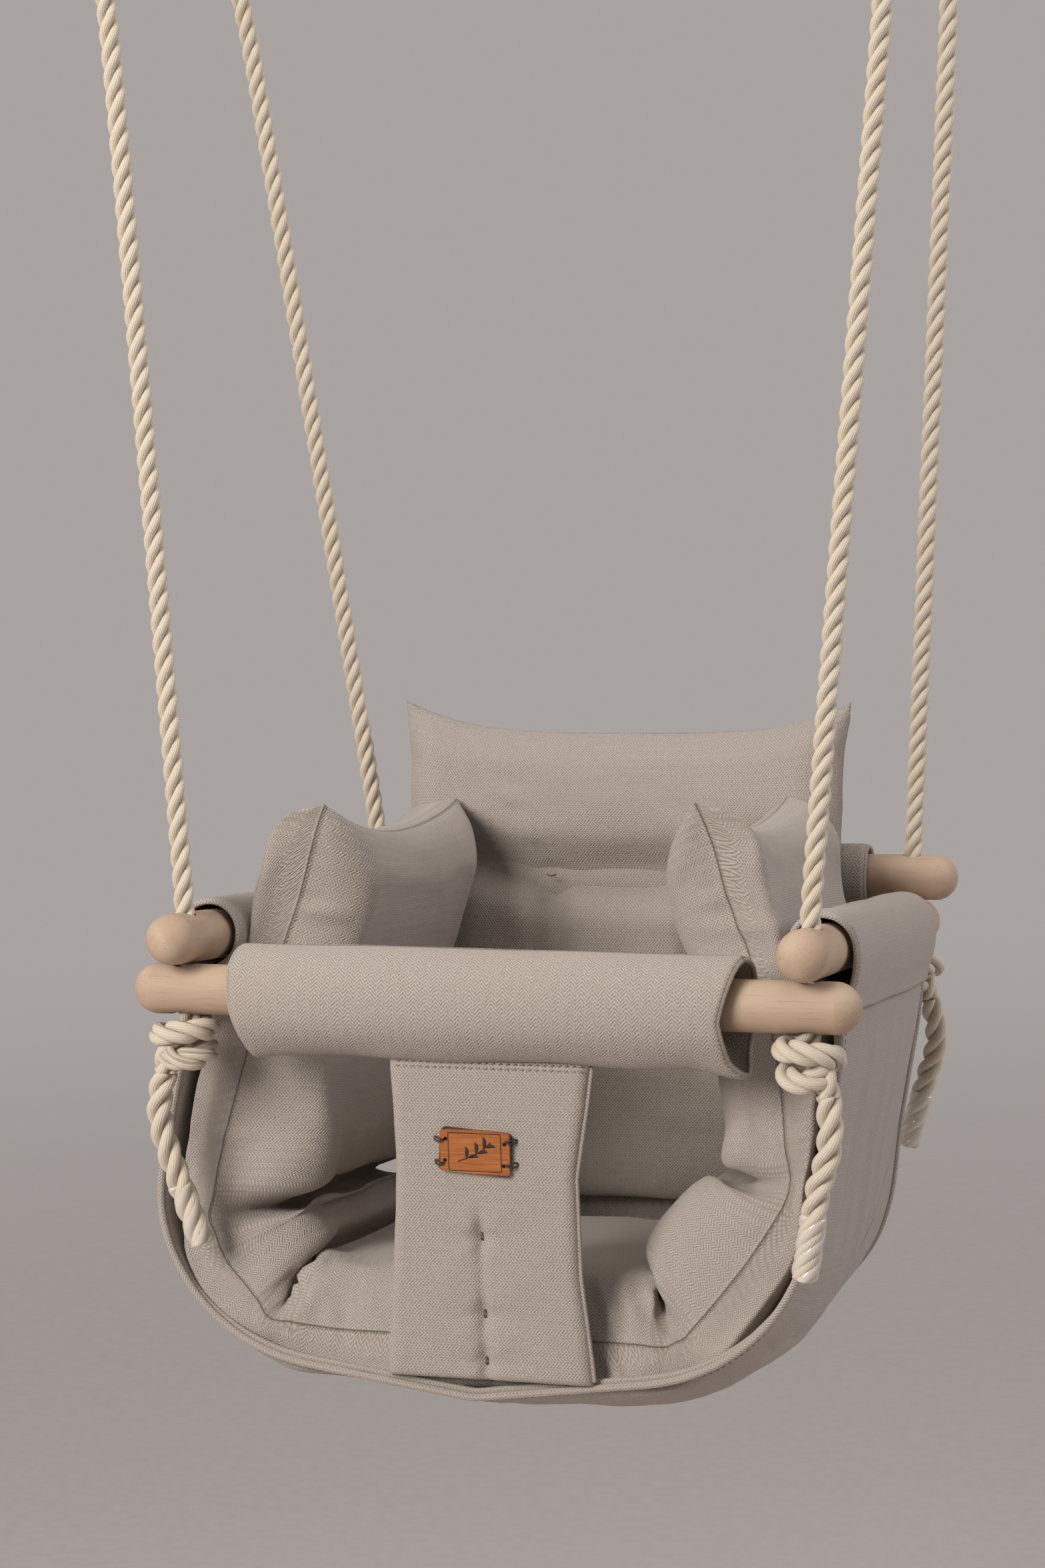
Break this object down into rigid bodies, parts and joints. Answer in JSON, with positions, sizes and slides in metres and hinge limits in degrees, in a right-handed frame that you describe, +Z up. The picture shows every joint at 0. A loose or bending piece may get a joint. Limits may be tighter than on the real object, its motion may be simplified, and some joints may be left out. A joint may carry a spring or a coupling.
{
  "type": "baby swing",
  "caption": "Hanging bucket swing for a baby: padded fabric seat with a crotch strap on crossed wooden dowels, hung on twisted cotton ropes.",
  "frame": {"origin": "midway between the four hanging rings, level with the wires that the ropes go over", "axes": "+Z up, +X to the right seen from the front, -Y towards the front bar and the strap"},
  "size_m": [0.531, 0.4306, 1.0215],
  "materials": {
    "beech": "sanded, unvarnished beech",
    "cotton_rope": "three-strand twisted cotton",
    "twine": "wound cotton twine",
    "clear_sleeve": "clear heat-shrink sleeve",
    "shell_fabric": "warm grey herringbone upholstery weave",
    "cushion_fabric": "warm grey herringbone upholstery weave, padded",
    "label_wood": "stained veneer with a burnt edge",
    "thread": "waxed thread",
    "steel": "zinc-plated steel"
  },
  "bodies": {
    "hangers": {"front_left_ring": "steel", "front_right_ring": "steel", "back_left_ring": "steel", "back_right_ring": "steel"},
    "front_ropes": {"front_left_rope": "cotton_rope", "front_right_rope": "cotton_rope", "front_left_whipping": "twine", "front_right_whipping": "twine"},
    "seat": {"front_dowel": "beech", "back_dowel": "beech", "left_dowel": "beech", "right_dowel": "beech", "front_left_knot": "cotton_rope", "front_right_knot": "cotton_rope", "back_left_knot": "cotton_rope", "back_right_knot": "cotton_rope", "front_left_tail": "cotton_rope", "front_right_tail": "cotton_rope", "back_left_tail": "cotton_rope", "back_right_tail": "cotton_rope", "front_left_end_sleeve": "clear_sleeve", "front_right_end_sleeve": "clear_sleeve", "back_left_end_sleeve": "clear_sleeve", "back_right_end_sleeve": "clear_sleeve", "left_sleeve": "shell_fabric", "right_sleeve": "shell_fabric", "back_sleeve": "shell_fabric", "front_bar_cover": "shell_fabric", "crotch_strap": "shell_fabric", "label_plate": "label_wood", "label_stitches": "thread", "left_side_panel": "shell_fabric", "right_side_panel": "shell_fabric", "bottom_panel": "shell_fabric", "front_hem": "shell_fabric", "left_back_hem": "shell_fabric", "right_back_hem": "shell_fabric", "back_panel": "shell_fabric", "left_side_cushion": "cushion_fabric", "left_corner_cushion": "cushion_fabric", "seat_cushion": "cushion_fabric", "right_corner_cushion": "cushion_fabric", "right_side_cushion": "cushion_fabric", "back_cushion": "cushion_fabric", "tuft_threads": "thread"},
    "back_ropes": {"back_left_rope": "cotton_rope", "back_right_rope": "cotton_rope", "back_left_whipping": "twine", "back_right_whipping": "twine"}
  },
  "joints": [
    {"name": "front_rope_swing", "type": "hinge", "parent": "hangers", "child": "front_ropes", "pos_m": [0, -0.107, 0], "axis": [1, 0, 0], "range_deg": [-20, 20]},
    {"name": "seat_tilt", "type": "hinge", "parent": "front_ropes", "child": "seat", "pos_m": [0, -0.17834, -0.61251], "axis": [1, 0, 0], "range_deg": [-12, 12]},
    {"name": "back_rope_swing", "type": "hinge", "parent": "seat", "child": "back_ropes", "pos_m": [0, 0.1877, -0.64231], "axis": [1, 0, 0], "range_deg": [-12, 12]}
  ],
  "couplings": [
    {"joint": "seat_tilt", "follows": "front_rope_swing", "ratio": -0.586},
    {"joint": "back_rope_swing", "follows": "front_rope_swing", "ratio": 0.561}
  ]
}
